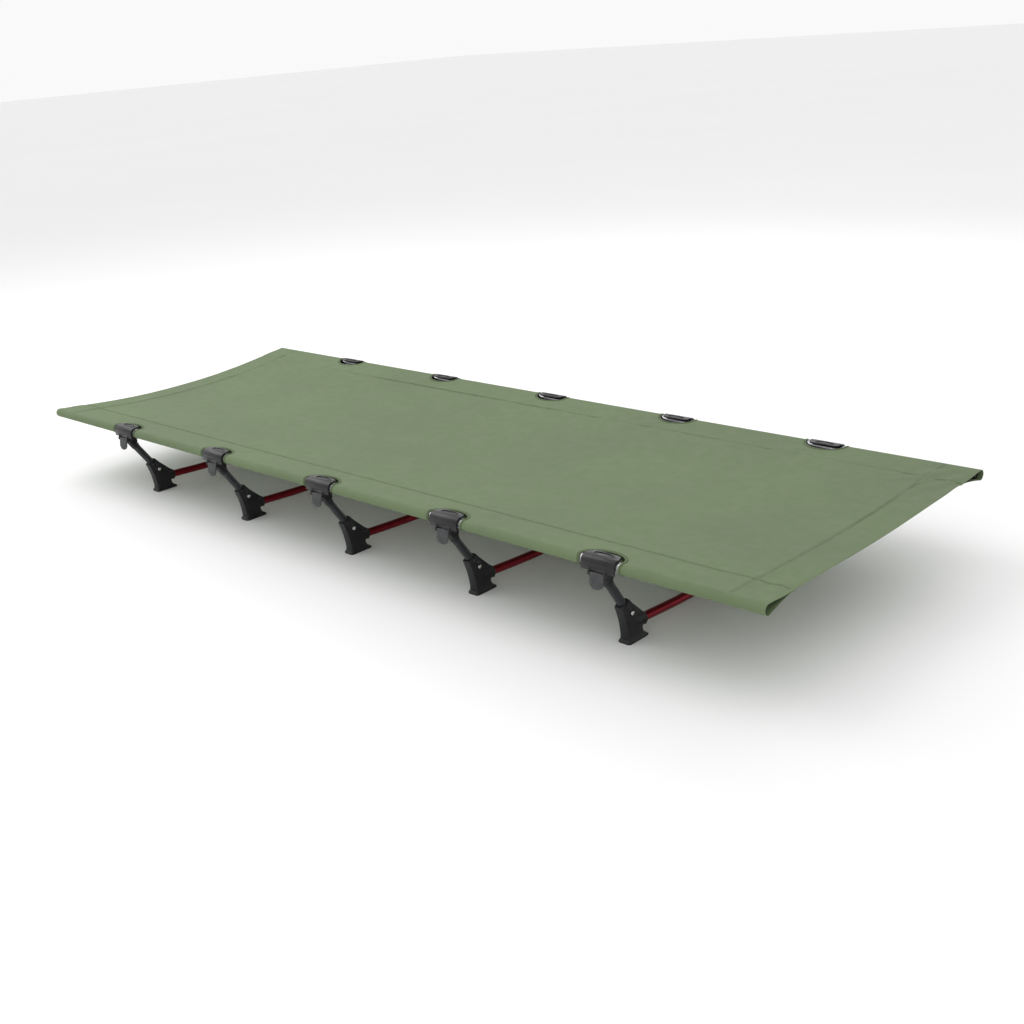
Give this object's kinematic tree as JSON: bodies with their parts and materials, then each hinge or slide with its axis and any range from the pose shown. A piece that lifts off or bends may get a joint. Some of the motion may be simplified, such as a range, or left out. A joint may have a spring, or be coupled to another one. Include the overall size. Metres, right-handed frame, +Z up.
{
  "type": "folding cot",
  "caption": "Low folding camp cot: a slung fabric bed with sleeved side rails, clipped onto splayed legs joined in pairs by cross poles.",
  "frame": {"origin": "on the floor under the middle of the bed", "axes": "+X along the bed's length, +Y across it towards the far side, +Z up"},
  "size_m": [1.9, 0.6722, 0.1617],
  "materials": {
    "bed_fabric": "matt coated woven fabric",
    "rail_tube": "drawn tube",
    "arm_tube": "black anodised tube",
    "pole_tube": "dark red anodised tube",
    "moulding": "moulded black nylon",
    "lever": "textured dark grey plastic",
    "rivet": "plain steel rivet"
  },
  "bodies": {
    "bed": {"fabric": "bed_fabric", "near_rail": "rail_tube", "far_rail": "rail_tube", "near_clip_1": "moulding", "near_clip_2": "moulding", "near_clip_3": "moulding", "near_clip_4": "moulding", "near_clip_5": "moulding"},
    "leg_1": {"cross_pole_1": "pole_tube", "near_hub_1": "moulding", "far_hub_1": "moulding", "near_arm_1": "arm_tube", "far_arm_1": "arm_tube", "near_rivet_1": "rivet", "far_rivet_1": "rivet", "far_clip_1": "moulding"},
    "near_lever_body_1": {"near_lever_1": "lever"},
    "far_lever_body_1": {"far_lever_1": "lever"},
    "leg_2": {"cross_pole_2": "pole_tube", "near_hub_2": "moulding", "far_hub_2": "moulding", "near_arm_2": "arm_tube", "far_arm_2": "arm_tube", "near_rivet_2": "rivet", "far_rivet_2": "rivet", "far_clip_2": "moulding"},
    "near_lever_body_2": {"near_lever_2": "lever"},
    "far_lever_body_2": {"far_lever_2": "lever"},
    "leg_3": {"cross_pole_3": "pole_tube", "near_hub_3": "moulding", "far_hub_3": "moulding", "near_arm_3": "arm_tube", "far_arm_3": "arm_tube", "near_rivet_3": "rivet", "far_rivet_3": "rivet", "far_clip_3": "moulding"},
    "near_lever_body_3": {"near_lever_3": "lever"},
    "far_lever_body_3": {"far_lever_3": "lever"},
    "leg_4": {"cross_pole_4": "pole_tube", "near_hub_4": "moulding", "far_hub_4": "moulding", "near_arm_4": "arm_tube", "far_arm_4": "arm_tube", "near_rivet_4": "rivet", "far_rivet_4": "rivet", "far_clip_4": "moulding"},
    "near_lever_body_4": {"near_lever_4": "lever"},
    "far_lever_body_4": {"far_lever_4": "lever"},
    "leg_5": {"cross_pole_5": "pole_tube", "near_hub_5": "moulding", "far_hub_5": "moulding", "near_arm_5": "arm_tube", "far_arm_5": "arm_tube", "near_rivet_5": "rivet", "far_rivet_5": "rivet", "far_clip_5": "moulding"},
    "near_lever_body_5": {"near_lever_5": "lever"},
    "far_lever_body_5": {"far_lever_5": "lever"}
  },
  "joints": [
    {"name": "leg_1_swing", "type": "hinge", "parent": "bed", "child": "leg_1", "pos_m": [-0.66, 0.318, 0.15], "axis": [1, 0, 0], "range_deg": [0, 75]},
    {"name": "near_lever_1_flip", "type": "hinge", "parent": "bed", "child": "near_lever_body_1", "pos_m": [-0.66, -0.3298, 0.1355], "axis": [-1, 0, 0], "range_deg": [0, 80]},
    {"name": "far_lever_1_flip", "type": "hinge", "parent": "leg_1", "child": "far_lever_body_1", "pos_m": [-0.66, 0.3298, 0.1355], "axis": [1, 0, 0], "range_deg": [0, 80]},
    {"name": "leg_2_swing", "type": "hinge", "parent": "bed", "child": "leg_2", "pos_m": [-0.33, 0.318, 0.15], "axis": [1, 0, 0], "range_deg": [0, 75]},
    {"name": "near_lever_2_flip", "type": "hinge", "parent": "bed", "child": "near_lever_body_2", "pos_m": [-0.33, -0.3298, 0.1355], "axis": [-1, 0, 0], "range_deg": [0, 80]},
    {"name": "far_lever_2_flip", "type": "hinge", "parent": "leg_2", "child": "far_lever_body_2", "pos_m": [-0.33, 0.3298, 0.1355], "axis": [1, 0, 0], "range_deg": [0, 80]},
    {"name": "leg_3_swing", "type": "hinge", "parent": "bed", "child": "leg_3", "pos_m": [0, 0.318, 0.15], "axis": [1, 0, 0], "range_deg": [0, 75]},
    {"name": "near_lever_3_flip", "type": "hinge", "parent": "bed", "child": "near_lever_body_3", "pos_m": [0, -0.3298, 0.1355], "axis": [-1, 0, 0], "range_deg": [0, 80]},
    {"name": "far_lever_3_flip", "type": "hinge", "parent": "leg_3", "child": "far_lever_body_3", "pos_m": [0, 0.3298, 0.1355], "axis": [1, 0, 0], "range_deg": [0, 80]},
    {"name": "leg_4_swing", "type": "hinge", "parent": "bed", "child": "leg_4", "pos_m": [0.33, 0.318, 0.15], "axis": [1, 0, 0], "range_deg": [0, 75]},
    {"name": "near_lever_4_flip", "type": "hinge", "parent": "bed", "child": "near_lever_body_4", "pos_m": [0.33, -0.3298, 0.1355], "axis": [-1, 0, 0], "range_deg": [0, 80]},
    {"name": "far_lever_4_flip", "type": "hinge", "parent": "leg_4", "child": "far_lever_body_4", "pos_m": [0.33, 0.3298, 0.1355], "axis": [1, 0, 0], "range_deg": [0, 80]},
    {"name": "leg_5_swing", "type": "hinge", "parent": "bed", "child": "leg_5", "pos_m": [0.66, 0.318, 0.15], "axis": [1, 0, 0], "range_deg": [0, 75]},
    {"name": "near_lever_5_flip", "type": "hinge", "parent": "bed", "child": "near_lever_body_5", "pos_m": [0.66, -0.3298, 0.1355], "axis": [-1, 0, 0], "range_deg": [0, 80]},
    {"name": "far_lever_5_flip", "type": "hinge", "parent": "leg_5", "child": "far_lever_body_5", "pos_m": [0.66, 0.3298, 0.1355], "axis": [1, 0, 0], "range_deg": [0, 80]}
  ]
}
